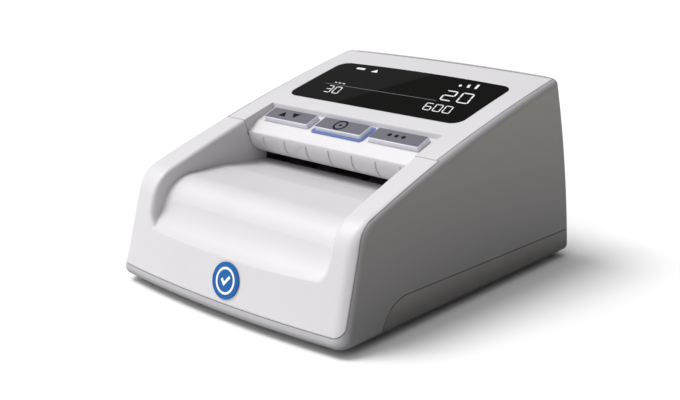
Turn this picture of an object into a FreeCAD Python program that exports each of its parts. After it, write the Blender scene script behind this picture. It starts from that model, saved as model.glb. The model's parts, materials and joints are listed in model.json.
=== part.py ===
"""Tabletop banknote counter and checker: hinged hood over a motor driven note path.

Units are millimetres, +Z up, front face towards -Y.
The origin is the middle of the footprint, on the surface the feet stand on.
"""
import FreeCAD, Part
import math
import os

V = FreeCAD.Vector

# ---- driving dimensions -------------------------------------------------
WIDTH = 128.0            # widest, just above the bottom edge
DEPTH = 159.0            # front bottom edge to rear bottom edge
HEIGHT = 83.0            # rear top edge above the table
UNDERSIDE = 3.0          # underside of the pan above the table
WALL = 2.2               # moulded wall thickness
GAP = 0.25               # parting gap between two mouldings
LEAN = 15.0              # front face leans back by this many degrees
KNEE = 16.0              # radius where the top runs over into the front face
NOTE_Z = 42.2            # level of the note path
NOTE_SLOT = 4.6          # height of the note path
CHANNEL = 48.0           # half width of the note channel
RAIL_OUT = 58.8          # half width of the white panels along the top
SEAM_Y = -16.0           # seam between hood and tray, at the top surface
FRONT_NIP_Y = 4.0        # front pair of rollers
ROLLER_R = 7.0           # rubber drive roller
PINCH_R = 5.0            # rubber pinch roller
MODULE = 0.8             # gear module
TEETH_DRIVE = 24
TEETH_IDLER = 36
TEETH_PINION = 12

# ---- places worked out from the driving dimensions ----------------------
FRONT_Y = -DEPTH / 2.0
REAR_Y = DEPTH / 2.0
DRAFT = 0.0425           # side walls come in by this much per mm of height
FLOOR_Z = UNDERSIDE + WALL
TRAIN_STEP = MODULE * (TEETH_DRIVE + TEETH_IDLER) / 2.0
REAR_NIP_Y = FRONT_NIP_Y + 2.0 * TRAIN_STEP
IDLER_Y = FRONT_NIP_Y + TRAIN_STEP
ROLLER_LIFT = 0.4        # drive rollers stand this far above the path
NOTE_THICK = 0.1
SHAFT_Z = NOTE_Z + ROLLER_LIFT - ROLLER_R
PINCH_Z = NOTE_Z + ROLLER_LIFT + NOTE_THICK + PINCH_R
PINION_Z = SHAFT_Z - MODULE * (TEETH_IDLER + TEETH_PINION) / 2.0
ROOF_Z = NOTE_Z + NOTE_SLOT
LEAN_TAN = math.tan(math.radians(LEAN))

# outer surfaces, as (y, z) points
TOP_ARC = [(69.3, HEIGHT), (10.0, 69.2), (-50.0, 51.2)]
REAR_ARC = [(69.6, HEIGHT - 1.0), (76.2, 48.0), (REAR_Y, 16.0)]
FRONT_BOW_R = 490.0
REAR_BOW_R = 736.0
FRONT_AT_Z = 6.0         # the front face is furthest forward at this height
TOP_EDGE_R = 3.0
FRONT_EDGE_R = 5.5
REAR_CORNER_R = 4.0
FAR = 200.0


# ---- small helpers --------------------------------------------------------
def point(y, z, x=0.0):
    return V(x, y, z)


def box(x0, x1, y0, y1, z0, z1):
    return Part.makeBox(x1 - x0, y1 - y0, z1 - z0, V(x0, y0, z0))


def rod_x(radius, x0, x1, y, z):
    return Part.makeCylinder(radius, x1 - x0, V(x0, y, z), V(1, 0, 0))


def rod_z(radius, x, y, z0, z1):
    return Part.makeCylinder(radius, z1 - z0, V(x, y, z0))


def circle_through(three):
    a, b, c = [point(*p) for p in three]
    return Part.Arc(a, b, c).toShape().Curve


def path_edges(start, steps, place):
    """Edges of an outline; a step is an end point, or a middle and an end point of an arc."""
    edges = []
    here = start
    for step in steps:
        if len(step) == 2 and not isinstance(step[0], tuple):
            edges.append(Part.makeLine(place(*here), place(*step)))
            here = step
        else:
            middle, end = step
            edges.append(Part.Arc(place(*here), place(*middle), place(*end)).toShape())
            here = end
    if place(*here).distanceToPoint(place(*start)) > 1e-6:
        edges.append(Part.makeLine(place(*here), place(*start)))
    return edges


def side_prism(start, steps, x0, x1):
    """Outline given in (y, z), drawn out from x0 to x1."""
    face = Part.Face(Part.Wire(path_edges(start, steps, lambda y, z: V(x0, y, z))))
    return face.extrude(V(x1 - x0, 0, 0))


def front_prism(start, steps, y0, y1):
    """Outline given in (x, z), drawn out from y0 to y1."""
    face = Part.Face(Part.Wire(path_edges(start, steps, lambda x, z: V(x, y0, z))))
    return face.extrude(V(0, y1 - y0, 0))


def rounded_box(x0, x1, y0, y1, z0, z1, radius):
    solid = box(x0, x1, y0, y1, z0, z1)
    upright = [e for e in solid.Edges if e.BoundBox.ZLength > (z1 - z0) * 0.99]
    return solid.makeFillet(radius, upright)


def mirrored(shape):
    return shape.mirror(V(0, 0, 0), V(1, 0, 0))


def both_sides(shape):
    return [shape, mirrored(shape)]


def fused(shapes):
    whole = shapes[0]
    if len(shapes) > 1:
        whole = whole.fuse(shapes[1:])
    return whole.removeSplitter()


def group(shapes):
    solids = []
    for shape in shapes:
        solids.extend(shape.Solids)
    return Part.makeCompound(solids)


def export(name, shape):
    solids = shape.Solids
    if not solids:
        raise ValueError("no solid in " + name)
    for solid in solids:
        if not solid.isValid():
            raise ValueError("bad solid in " + name)
    whole = solids[0] if len(solids) == 1 else Part.makeCompound(solids)
    whole.exportStep("parts/" + name + ".step")


# ---- outer form -------------------------------------------------------------
TOP_CIRCLE = circle_through(TOP_ARC)
REAR_CIRCLE = circle_through(REAR_ARC)


def top_z(y, depth=0.0):
    """Height of the top surface, or of a surface that lies depth below it."""
    radius = TOP_CIRCLE.Radius - depth
    return TOP_CIRCLE.Center.z + math.sqrt(radius ** 2 - (y - TOP_CIRCLE.Center.y) ** 2)


def top_tilt(y):
    """Slope angle of the top surface in degrees, rising to the rear."""
    run = TOP_CIRCLE.Center.y - y
    return math.degrees(math.asin(run / TOP_CIRCLE.Radius))


def under_top(depth):
    radius = TOP_CIRCLE.Radius - depth
    return rod_x(radius, -FAR, FAR, TOP_CIRCLE.Center.y, TOP_CIRCLE.Center.z)


def side_half(z, inset=0.0):
    return WIDTH / 2.0 - inset - DRAFT * (z - UNDERSIDE - 4.0)


def behind_front(inset):
    low, high = -60.0, 160.0
    reach = inset / math.cos(math.radians(LEAN))

    def radius(z):
        return FRONT_BOW_R - LEAN_TAN * (z - FRONT_AT_Z) - reach

    centre = V(0, FRONT_Y + FRONT_BOW_R, low)
    return Part.makeCone(radius(low), radius(high), high - low, centre)


def before_rear(inset):
    radius = REAR_CIRCLE.Radius - inset
    centre = REAR_CIRCLE.Center
    axis_y = REAR_Y - REAR_BOW_R

    def on_arc(z):
        return V(0, centre.y + math.sqrt(radius ** 2 - (z - centre.z) ** 2), z)

    low, middle, high = on_arc(-40.0), on_arc(30.0), on_arc(120.0)
    curved = Part.Arc(low, middle, high).toShape()
    back = V(0, axis_y, high.z)
    down = V(0, axis_y, low.z)
    straight = [Part.makeLine(high, back), Part.makeLine(back, down), Part.makeLine(down, low)]
    wire = Part.Wire([curved] + straight)
    turned = Part.Face(wire).revolve(V(0, axis_y, 0), V(0, 0, 1), 360)
    turned.rotate(V(0, axis_y, 0), V(0, 0, 1), 180)
    return turned


def raw_form(inset):
    low, high = -20.0, 120.0
    wide, narrow = side_half(low, inset), side_half(high, inset)
    corners = [(wide, low), (narrow, high), (-narrow, high)]
    solid = front_prism((-wide, low), corners, -FAR / 2, FAR / 2)
    solid = solid.common(under_top(inset))
    solid = solid.common(behind_front(inset))
    solid = solid.common(before_rear(inset))
    floor = box(-FAR, FAR, -FAR, FAR, UNDERSIDE + inset, FAR)
    return solid.common(floor).Solids[0]


def edge_kind(edge):
    """Which of the outer edges this is, by where it lies."""
    b = edge.BoundBox
    at_side = min(abs(b.XMin), abs(b.XMax)) > 52 and b.XLength < 10
    if at_side and b.ZMin > 40 and b.YLength > 60:
        return "side top"
    if at_side and b.YMax < -40 and b.ZMin > 30:
        return "knee"
    if at_side and b.YMax < -50 and b.ZMin < 10:
        return "front upright"
    if b.YMin > 55 and b.ZMin > 72:
        return "rear corner" if b.XLength < 10 else "rear top"
    return ""


def round_upper_edges(doc, solid, inset):
    """Small radius along the top, growing over the knee to the front uprights."""
    small = TOP_EDGE_R - inset
    large = FRONT_EDGE_R - inset
    base = doc.addObject("Part::Feature", "base")
    base.Shape = solid
    rounding = doc.addObject("Part::Fillet", "rounding")
    rounding.Base = base
    chosen = []
    for number, edge in enumerate(solid.Edges, 1):
        kind = edge_kind(edge)
        first_higher = edge.valueAt(edge.FirstParameter).z > edge.valueAt(edge.LastParameter).z
        right = edge.BoundBox.XMin > 0
        if kind in ("side top", "rear top", "rear corner"):
            chosen.append((number, small, small))
        elif kind == "knee":
            if first_higher == right:
                chosen.append((number, small, large))
            else:
                chosen.append((number, large, small))
        elif kind == "front upright":
            chosen.append((number, large, large))
    rounding.Edges = chosen
    doc.recompute()
    return rounding.Shape.Solids[0]


def form(inset=0.0):
    """Outer body shape, or the same shape moved in by inset."""
    solid = raw_form(inset)
    across = [e for e in solid.Edges if e.BoundBox.XLength > 100]
    knee = [e for e in across if e.BoundBox.YMax < -40 and e.BoundBox.ZMin > 30]
    solid = solid.makeFillet(KNEE - inset, knee).Solids[0]
    rear = [e for e in solid.Edges if e.BoundBox.YMin > 55 and e.BoundBox.ZLength > 60]
    solid = solid.makeFillet(REAR_CORNER_R - inset, rear).Solids[0]
    doc = FreeCAD.newDocument("form")
    solid = round_upper_edges(doc, solid, inset)
    FreeCAD.closeDocument(doc.Name)
    return solid


# ---- zones that split the outer form into mouldings -------------------------
PANEL_LOW_Z = 8.0        # lower edge of the white front
PANEL_CORNER_R = 3.6
PANEL_DEPTH = 4.5        # how far the side edges of the white front reach into the body
# edge of the white front in front view, from the seam down to the lower corner: (x, z)
PANEL_SIDE = [(59.8, 62.0), (61.1, 47.5), (61.9, 38.0), (62.7, PANEL_LOW_Z + PANEL_CORNER_R)]
HOOD_REAR_Y = 67.4       # rear edge of the hood on the centre line
HOOD_REAR_R = 3.0
HOOD_REAR_GAP = 0.65     # the rear edge swings back a little as the hood opens
PAN_SEAM_REAR_Z = 13.0
PAN_SEAM_FRONT_Z = 15.2
PAN_SEAM_TURN_Y = -39.0


def seam_cut(grow=0.0):
    """Everything behind the seam; the seam plane stands square to the top surface."""
    tilt = math.radians(top_tilt(SEAM_Y))
    y0 = SEAM_Y + grow
    z0 = top_z(SEAM_Y)
    up, down = 30.0, 60.0
    high = (y0 - up * math.tan(tilt), z0 + up)
    low = (y0 + down * math.tan(tilt), z0 - down)
    return side_prism(low, [(FAR, low[1]), (FAR, high[1]), high], -FAR, FAR)


def wide_front(grow):
    """Outer layer inside the edge of the white front, from the seam downwards."""
    side = [(x + grow, z) for x, z in PANEL_SIDE]
    top = side[0][0]
    wide = side[-1][0]
    low = PANEL_LOW_Z - grow
    r = PANEL_CORNER_R + grow
    c = r * (1.0 - math.sqrt(0.5))
    left = [(-x, z) for x, z in side]
    corners = [((-wide + c, low + c), (-wide + r, low)), (wide - r, low), ((wide - c, low + c), side[-1])]
    steps = left + corners + side[2::-1] + [(top, FAR)]
    shape = front_prism((-top, FAR), steps, -FAR, 0.0)
    core = under_top(PANEL_DEPTH + grow).common(behind_front(PANEL_DEPTH + grow))
    return shape.cut(core).cut(seam_cut(grow))


def panel_zone(grow=0.0):
    """Strip shared by the hood and the tray along the top, and the wider front."""
    upper = box(-RAIL_OUT - grow, RAIL_OUT + grow, -FAR, FAR, PANEL_LOW_Z - grow, FAR)
    return [upper, wide_front(grow)]


def rear_bound(y, grow=0.0):
    """Everything in front of an upright surface bowed like the rear wall."""
    radius = REAR_BOW_R - (REAR_Y - y) + grow
    return Part.makeCylinder(radius, 2 * FAR, V(0, REAR_Y - REAR_BOW_R, -FAR))


def hood_rear_bound():
    """Like rear_bound, with the rear edge rounded over so the hood swings clear of the rear wall."""
    axis_y = REAR_Y - REAR_BOW_R
    centre_y = HOOD_REAR_Y - HOOD_REAR_R
    centre_z = top_z(HOOD_REAR_Y) - HOOD_REAR_R + 0.2

    def on_arc(degrees):
        turn = math.radians(degrees)
        return (centre_y + HOOD_REAR_R * math.cos(turn), centre_z + HOOD_REAR_R * math.sin(turn))

    end = on_arc(65.0)
    steps = [(HOOD_REAR_Y, -FAR), on_arc(0.0), (on_arc(32.0), end), (end[0], FAR), (axis_y, FAR)]
    face = Part.Face(Part.Wire(path_edges((axis_y, -FAR), steps, lambda y, z: V(0, y, z))))
    turned = face.revolve(V(0, axis_y, 0), V(0, 0, 1), 360)
    turned.rotate(V(0, axis_y, 0), V(0, 0, 1), 180)
    return turned


def slope_frame(shape, y, z, tilt):
    """Turn a shape built flat, with +Z outward, onto a slope that rises to the rear."""
    placed = shape.copy()
    placed.rotate(V(0, 0, 0), V(1, 0, 0), tilt)
    placed.translate(V(0, y, z))
    return placed


def on_key(shape):
    return slope_frame(shape, KEY_Y, KEY_Z, KEY_TILT)


def on_display(shape):
    return slope_frame(shape, WINDOW_Y, top_z(WINDOW_Y), top_tilt(WINDOW_Y))


def place_face(shape, x, z):
    """Turn a shape built flat, with +Z outward, onto the leaning front face."""
    y = FRONT_Y + LEAN_TAN * (z - FRONT_AT_Z)
    placed = shape.copy()
    placed.rotate(V(0, 0, 0), V(1, 0, 0), 90.0 - LEAN)
    placed.translate(V(x, y, z))
    return placed


# ---- note channel in the tray ------------------------------------------------
CHANNEL_CORNER_R = 8.0
CHANNEL_LOW_Z = NOTE_Z - 17.5
CHANNEL_FLARE = 0.062    # the right wall moves out by this much per mm towards the mouth
RIM_R = 1.8              # soft edge along the rails
TRAY_WALL = 2.2

# the floor from rear to front: y, fall below the level part, and the outward direction (y, z)
FLOOR_LEVEL = NOTE_Z + 2.1
FLOOR_LINE = [
    (-14.0, 2.0, 0.0, 1.0), (-30.0, 0.0, 0.0, 1.0), (-49.0, 0.0, 0.1, 1.0), (-57.5, 2.6, 0.5, 0.87),
    (-62.5, 8.0, 0.85, 0.53), (-66.0, 14.0, 0.8, 0.6), (-74.0, 19.5, 0.4, 0.92), (-86.0, 21.5, 0.1, 1.0),
]


def channel_space(half, drop, start_y):
    """Space above the tray floor; drop moves the floor down by a wall thickness."""
    line = [(y + drop * back, FLOOR_LEVEL - fall - drop * down) for y, fall, back, down in FLOOR_LINE]
    steps = [line[0], line[1], line[2], (line[3], line[4]), (line[5], line[6]), line[7]]
    steps += [(-FAR, line[7][1]), (-FAR, FAR), (start_y, FAR)]
    along = side_prism((start_y, line[0][1]), steps, -FAR, FAR)
    low = CHANNEL_LOW_Z - drop
    r = CHANNEL_CORNER_R + drop
    c = r * (1.0 - math.sqrt(0.5))
    outline = [
        (-half, low + r), ((-half + c, low + c), (-half + r, low)), (half - r, low),
        ((half - c, low + c), (half, low + r)), (half, FAR),
    ]
    straight = front_prism((-half, FAR), outline, -FAR, FAR)
    mouth = straight.copy()
    mouth.rotate(V(half, SEAM_Y, 0), V(0, 0, 1), math.degrees(math.atan(CHANNEL_FLARE)))
    mouth = mouth.common(box(0.0, FAR, -FAR, SEAM_Y, 0.0, FAR))
    return along.common(straight.fuse(mouth).removeSplitter())


def on_channel_wall(at):
    right = CHANNEL + CHANNEL_FLARE * max(0.0, SEAM_Y - at.y)
    return abs(at.x + CHANNEL) < 0.01 or abs(at.x - right) < 0.01


def rail_rim(edge, outer):
    """True for an edge where a channel wall meets the outer surface."""
    ends = [edge.valueAt(edge.FirstParameter), edge.valueAt(edge.LastParameter)]
    if not all(on_channel_wall(at) for at in ends):
        return False
    middle = edge.valueAt((edge.FirstParameter + edge.LastParameter) / 2.0)
    return outer.Shells[0].distToShape(Part.Vertex(middle))[0] < 0.02


# ---- nose and key shelf of the hood -------------------------------------------
KEY_Y = -4.75
KEY_Z = 64.56
KEY_TILT = 20.5
KEY_SHELF = 2.2          # key tops stand this far above the shelf
NOSE_TOP_Y = -14.0
NOSE_TOP_Z = 56.6
NOSE_LOW_Y = -7.6


def on_key_slope(along, out):
    a = math.radians(KEY_TILT)
    return (KEY_Y + along * math.cos(a) - out * math.sin(a), KEY_Z + along * math.sin(a) + out * math.cos(a))


def shelf_space(half, inset):
    """Space above the key shelf and in front of the nose; inset moves it into the hood."""
    back_y = 2.4 + inset
    rear = on_key_slope(6.2 + inset * 0.6, -KEY_SHELF - inset)
    front = on_key_slope(-5.0, -KEY_SHELF - inset)
    crest = (NOSE_TOP_Y + inset * 0.8, NOSE_TOP_Z - inset * 0.7)
    curve = on_key_slope(-8.0, -KEY_SHELF - 0.9 - inset)
    belly = (-13.0 + inset, 51.6)
    low = (NOSE_LOW_Y + inset, ROOF_Z)
    steps = [(back_y - 0.6, rear[1] + 0.9), rear, front, (curve, crest), (belly, low), (low[0], 0.0)]
    return side_prism((back_y, FAR), steps + [(-FAR, 0.0), (-FAR, FAR)], -half, half)


# ---- display window ---------------------------------------------------------------
WINDOW_Y = 32.0
WINDOW_HALF = 48.6
WINDOW_LOW = 21.4
WINDOW_HIGH = 20.0
WINDOW_BOW = 1.85
WINDOW_CORNER_R = 5.5
WINDOW_THICK = 1.4


def window_prism(grow, low, high):
    """Rounded window outline on the slope, bowed along its upper edge."""
    half = WINDOW_HALF + grow
    y0, y1 = -WINDOW_LOW - grow, WINDOW_HIGH + grow
    steps = [(half, y0), (half, y1 - WINDOW_BOW + 0.4), ((0.0, y1 + 0.4), (-half, y1 - WINDOW_BOW + 0.4))]
    face = Part.Face(Part.Wire(path_edges((-half, y0), steps, lambda x, y: V(x, y, low))))
    solid = face.extrude(V(0, 0, high - low))
    upright = [e for e in solid.Edges if e.BoundBox.ZLength > (high - low) * 0.99]
    solid = solid.makeFillet(WINDOW_CORNER_R + grow, upright)
    return on_display(solid)


# ---- hood -------------------------------------------------------------------------
HINGE_Y = 57.4
HINGE_DEPTH = 2.8
HINGE_Z = top_z(HINGE_Y) - HINGE_DEPTH
HINGE_PIN_R = 1.2
HINGE_IN = 52.4
HINGE_OUT = 60.4
SKIRT = 7.0
KEY_PITCH = 30.5
KEY_HALF_X = 13.175
KEY_HALF_Y = 4.165
KEY_CLEAR = 0.2
RING = 1.4
NOSE_HALF = CHANNEL - 0.3
HOOD_BOSSES = [(52.5, 14.0), (52.5, 50.0)]
BOARD_POSTS = [(47.0, -15.0), (47.0, 15.0)]


def hood_blank(outer):
    plug = outer.common(box(-RAIL_OUT, RAIL_OUT, -FAR, FAR, ROOF_Z, FAR))
    return plug.common(seam_cut(GAP)).common(hood_rear_bound())


def nose_box():
    """Hollow block below the key shelf that ends in the nose."""
    solid = box(-NOSE_HALF, NOSE_HALF, -20.0, 2.6, ROOF_Z, 66.0)
    solid = solid.cut(shelf_space(FAR, 0.0))
    inside = box(-NOSE_HALF + 2.0, NOSE_HALF - 2.0, -20.0, 10.0, ROOF_Z - 1.0, 70.0)
    inside = inside.cut(shelf_space(FAR, 2.0))
    ledges = []
    for x0 in (-NOSE_HALF + 2.0, NOSE_HALF - 3.0):
        ledge = on_key(box(x0, x0 + 1.0, -5.0, 5.0, KEY_BOARD_LOW - 1.1, KEY_BOARD_LOW))
        ledges.append(ledge.common(box(-FAR, FAR, -20.0, 2.6, ROOF_Z, 66.0)))
    return [solid.cut(inside)] + ledges


def nose_ribs():
    """Seven fine upright ribs on the nose."""
    raised = box(-FAR, FAR, -20.0, 0.0, ROOF_Z + 1.2, NOSE_TOP_Z - 1.0)
    raised = raised.cut(shelf_space(FAR, -0.35)).common(shelf_space(FAR, 0.4))
    ribs = []
    for number in range(-3, 4):
        x = number * 13.0
        ribs.append(raised.common(box(x - 0.45, x + 0.45, -FAR, FAR, 0, FAR)))
    return ribs


def key_opening(x, grow):
    half_x, half_y = KEY_HALF_X + grow, KEY_HALF_Y + grow
    hole = rounded_box(x - half_x, x + half_x, -half_y, half_y, -6.5, 3.0, 0.8 + grow * 0.5)
    return on_key(hole)


def hood_cover(outer, inner, pocket):
    blank = hood_blank(outer)
    layer = blank.cut(under_top(SKIRT))
    layer = layer.cut(box(-FAR, FAR, HINGE_Y + 5.6, FAR, 0, FAR).common(under_top(WALL + 0.2)))
    inside = inner.common(box(-RAIL_OUT + 1.6, RAIL_OUT - 1.6, -FAR, HOOD_REAR_Y, 0, FAR))
    inside = inside.cut(shelf_space(CHANNEL + 2.2, 2.0))
    shell = layer.cut(inside).cut(shelf_space(CHANNEL + 0.2, 0.0))
    parts = [shell] + nose_box() + nose_ribs()
    for x, y in HOOD_BOSSES:
        for side in (-1, 1):
            parts.append(rod_z(2.8, side * x, y, 54.0, top_z(y) - 1.5))
    ear = box(HINGE_IN, RAIL_OUT, HINGE_Y - 2.6, HINGE_Y + 2.6, HINGE_Z, HINGE_Z + 2.0)
    parts += both_sides(ear) + both_sides(rod_x(2.6, HINGE_IN, RAIL_OUT, HINGE_Y, HINGE_Z))
    for x, y in BOARD_POSTS:
        for side in (-1, 1):
            post = rod_z(2.0, side * x, y, -7.0, -1.9)
            parts.append(on_display(post))
    whole = fused(parts)
    whole = whole.cut(window_prism(0.1, -9.0, 9.0).cut(pocket))
    whole = whole.cut(window_prism(-2.0, -6.9, 9.0))
    for x in (-KEY_PITCH, KEY_PITCH):
        whole = whole.cut(key_opening(x, KEY_CLEAR))
    whole = whole.cut(key_opening(0.0, RING))
    for x, y in HOOD_BOSSES:
        for side in (-1, 1):
            whole = whole.cut(rod_z(1.25, side * x, y, 50.0, 63.0))
    for x, y in BOARD_POSTS:
        for side in (-1, 1):
            bore = rod_z(0.9, side * x, y, -9.0, -3.4)
            whole = whole.cut(on_display(bore))
    for hole in both_sides(rod_x(HINGE_PIN_R, HINGE_IN, HINGE_OUT, HINGE_Y, HINGE_Z)):
        whole = whole.cut(hole)
    return whole


def display_window():
    """Clear pane that follows the top surface, a hair below it."""
    pane = window_prism(0.0, -9.0, 9.0)
    return pane.common(under_top(0.05)).cut(under_top(WINDOW_THICK))


def lcd_module():
    return on_display(box(-44.9, 44.9, -18.5, 15.5, -7.0, -1.85))


def control_board():
    board = box(-49.3, 49.3, -19.0, 19.0, -8.6, -7.0)
    for x, y in BOARD_POSTS:
        for side in (-1, 1):
            board = board.cut(rod_z(1.0, side * x, y, -9.0, -6.0))
    return on_display(board)


def control_screws():
    screws = []
    for x, y in BOARD_POSTS:
        for side in (-1, 1):
            screw = rod_z(1.7, side * x, y, -9.8, -8.6).fuse(rod_z(0.85, side * x, y, -8.6, -4.0))
            screws.append(on_display(screw.removeSplitter()))
    return group(screws)


def hinge_pins():
    return group(both_sides(rod_x(HINGE_PIN_R, HINGE_IN, HINGE_OUT, HINGE_Y, HINGE_Z)))


# ---- keys ---------------------------------------------------------------------------
KEY_FLANGE_TOP = -4.25
KEY_FLANGE = 1.0
KEY_POST_LOW = -6.6
KEY_BOARD_TOP = -8.4
KEY_BOARD_LOW = -9.6


def key_cap(x):
    """One key: soft edged cap, a flange below the shelf and a post over its dome."""
    cap = rounded_box(x - KEY_HALF_X, x + KEY_HALF_X, -KEY_HALF_Y, KEY_HALF_Y, KEY_FLANGE_TOP, 0.0, 0.8)
    cap = cap.makeFillet(0.5, [e for e in cap.Edges if e.BoundBox.ZMin > -0.01])
    low = KEY_FLANGE_TOP - KEY_FLANGE
    flange = box(x - 14.2, x + 14.2, -4.95, 4.95, low, KEY_FLANGE_TOP)
    post = rod_z(1.6, x, 0.0, KEY_POST_LOW, low)
    return on_key(fused([cap, flange, post]))


def key_light_ring():
    grow = RING - 0.03
    ring = rounded_box(-KEY_HALF_X - grow, KEY_HALF_X + grow, -KEY_HALF_Y - grow, KEY_HALF_Y + grow,
                       -KEY_SHELF - 1.9, -KEY_SHELF + 0.3, 1.5)
    hole = rounded_box(-KEY_HALF_X - KEY_CLEAR, KEY_HALF_X + KEY_CLEAR, -KEY_HALF_Y - KEY_CLEAR,
                       KEY_HALF_Y + KEY_CLEAR, -9.0, 3.0, 0.9)
    return on_key(ring.cut(hole))


def key_board():
    return on_key(box(-45.2, 45.2, -5.4, 6.0, KEY_BOARD_LOW, KEY_BOARD_TOP))


def key_pad():
    """Rubber mat with one hollow dome below each key."""
    mat = [box(-44.0, 44.0, -4.8, 4.8, KEY_BOARD_TOP, KEY_BOARD_TOP + 0.4)]
    height = KEY_POST_LOW - 0.05 - KEY_BOARD_TOP
    for number in (-1, 0, 1):
        x = number * KEY_PITCH
        mat.append(Part.makeCone(3.4, 2.2, height, V(x, 0, KEY_BOARD_TOP)))
    mat = fused(mat)
    for number in (-1, 0, 1):
        mat = mat.cut(Part.makeCone(2.7, 1.5, height - 0.6, V(number * KEY_PITCH, 0, KEY_BOARD_TOP)))
    return on_key(mat)


# ---- note path in the hood --------------------------------------------------------------
ROLLER_PLACES = (-34.0, -15.0, 15.0, 34.0)
SENSOR_Y0 = 18.0
SENSOR_Y1 = 24.0
SENSOR_HALF = 42.0
GUIDE_THICK = 1.6
GUIDE_HALF = 45.4
PINCH_SHAFT_R = 1.5
RUNNING = 0.05           # radial clearance of a running fit
TAB_Z = 52.5


def nip_rows():
    return (FRONT_NIP_Y, REAR_NIP_Y)


def hood_inner_frame():
    """Upper note guide with side walls, screw tabs and lugs for the pinch shafts."""
    top = ROOF_Z + GUIDE_THICK
    plate = box(-GUIDE_HALF, GUIDE_HALF, -5.2, 66.0, ROOF_Z, top)
    parts = [plate]
    for y in nip_rows():
        lug = box(GUIDE_HALF - 2.0, GUIDE_HALF, y - 3.4, y + 3.4, ROOF_Z, PINCH_Z + 3.0)
        parts += both_sides(lug)
    for x, y in HOOD_BOSSES:
        wall = box(GUIDE_HALF - 2.0, GUIDE_HALF, y - 4.0, y + 4.0, ROOF_Z, TAB_Z + GUIDE_THICK)
        tab = box(GUIDE_HALF - 2.0, x + 3.0, y - 4.0, y + 4.0, TAB_Z, TAB_Z + 1.5)
        parts += both_sides(wall) + both_sides(tab)
    whole = fused(parts)
    for y in nip_rows():
        for x in ROLLER_PLACES:
            whole = whole.cut(box(x - 5.0, x + 5.0, y - 5.6, y + 5.6, ROOF_Z - 1, top + 1))
        groove = box(-GUIDE_HALF + 2.0, GUIDE_HALF - 2.0, y - 2.0, y + 2.0, ROOF_Z + 0.3, top + 1)
        whole = whole.cut(groove)
        whole = whole.cut(rod_x(PINCH_SHAFT_R + RUNNING, -FAR, FAR, y, PINCH_Z))
    whole = whole.cut(box(-SENSOR_HALF, SENSOR_HALF, SENSOR_Y0, SENSOR_Y1, ROOF_Z - 1, top + 1))
    for x, y in HOOD_BOSSES:
        for side in (-1, 1):
            whole = whole.cut(rod_z(1.3, side * x, y, TAB_Z - 1, TAB_Z + 3))
    return whole


def upper_lens():
    return box(-SENSOR_HALF, SENSOR_HALF, SENSOR_Y0, SENSOR_Y1, ROOF_Z + 0.05, ROOF_Z + GUIDE_THICK)


def upper_sensor_bar():
    low = ROOF_Z + GUIDE_THICK
    half = SENSOR_HALF + 1.0
    return box(-half, half, SENSOR_Y0 - 1.0, SENSOR_Y1 + 1.0, low, low + 4.0)


def hood_screws():
    screws = []
    for x, y in HOOD_BOSSES:
        for side in (-1, 1):
            head = rod_z(2.4, side * x, y, TAB_Z - 1.6, TAB_Z)
            shank = rod_z(1.2, side * x, y, TAB_Z, TAB_Z + 8.0)
            screws.append(head.fuse(shank).removeSplitter())
    return group(screws)


def pinch_shaft(y):
    return rod_x(PINCH_SHAFT_R, -GUIDE_HALF - 0.2, GUIDE_HALF + 0.2, y, PINCH_Z)


def pinch_rollers(y):
    rollers = []
    for x in ROLLER_PLACES:
        tyre = rod_x(PINCH_R, x - 4.0, x + 4.0, y, PINCH_Z)
        rollers.append(tyre.cut(rod_x(PINCH_SHAFT_R, x - 5.0, x + 5.0, y, PINCH_Z)))
    return group(rollers)


def key_ribbon():
    """Flat cable from the key board to the control board."""
    start = on_key_slope(6.05, KEY_BOARD_LOW + 0.4)
    end_y = WINDOW_Y - 19.6
    end = (end_y, top_z(end_y) - 8.0)
    middle = ((start[0] + end[0]) / 2.0, min(start[1], end[1]) - 0.5)
    thick = 0.3
    back = ((middle[0], middle[1] + thick), (start[0], start[1] + thick))
    return side_prism(start, [(middle, end), (end[0], end[1] + thick), back], 20.0, 32.0)


# ---- moulded tray ----------------------------------------------------------------------
TRAY_REAR_Y = -3.0
UNDER_HOOD = 7.5
TRAY_POST_X = 36.0
TRAY_POST_Y = -67.0
SCREW_SEAT_Z = 7.2
SCREW_HOLE_R = 1.25


def tray_bezel(outer, inner):
    skin = outer.cut(inner)
    front = skin.cut(seam_cut(0.0))
    faces = [front.common(zone) for zone in panel_zone(0.0)]
    before = box(-FAR, FAR, -FAR, TRAY_REAR_Y, PANEL_LOW_Z, FAR)
    below_hood = seam_cut(-GAP).cut(under_top(UNDER_HOOD))
    walls = channel_space(CHANNEL + TRAY_WALL, TRAY_WALL, TRAY_REAR_Y)
    walls = walls.common(outer).common(before).cut(below_hood)
    walls = walls.cut(channel_space(CHANNEL, 0.0, 10.0))
    whole = fused(faces + [walls])
    posts = []
    for post in both_sides(rod_z(3.0, TRAY_POST_X, TRAY_POST_Y, SCREW_SEAT_Z, 40.0)):
        posts.append(post.cut(channel_space(CHANNEL + 1.0, 1.0, 10.0)))
    whole = fused([whole] + posts)
    whole = whole.cut(channel_space(CHANNEL, 0.0, 10.0))
    for hole in both_sides(rod_z(SCREW_HOLE_R, TRAY_POST_X, TRAY_POST_Y, 0.0, 17.0)):
        whole = whole.cut(hole)
    whole = whole.removeSplitter()
    return whole.makeFillet(RIM_R, [e for e in whole.Edges if rail_rim(e, outer)])


# ---- grey wrap and pan --------------------------------------------------------------------
SHELL_POSTS = [(58.5, -40.0), (58.5, 64.0)]
POST_R = 3.4
PAN_PLATE_HALF = 57.5
PAN_PLATE_FRONT_Y = -71.5
SLOT_HALF = 43.5
JACK_X = -36.0
JACK_Z = 30.6
PORT_X = -18.0
BOARD_TOP_Z = 25.6


def round_bottom(solid, inset):
    low = [e for e in solid.Edges if e.BoundBox.ZMax < UNDERSIDE + inset + 0.01]
    return solid.makeFillet(3.0, low)


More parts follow.
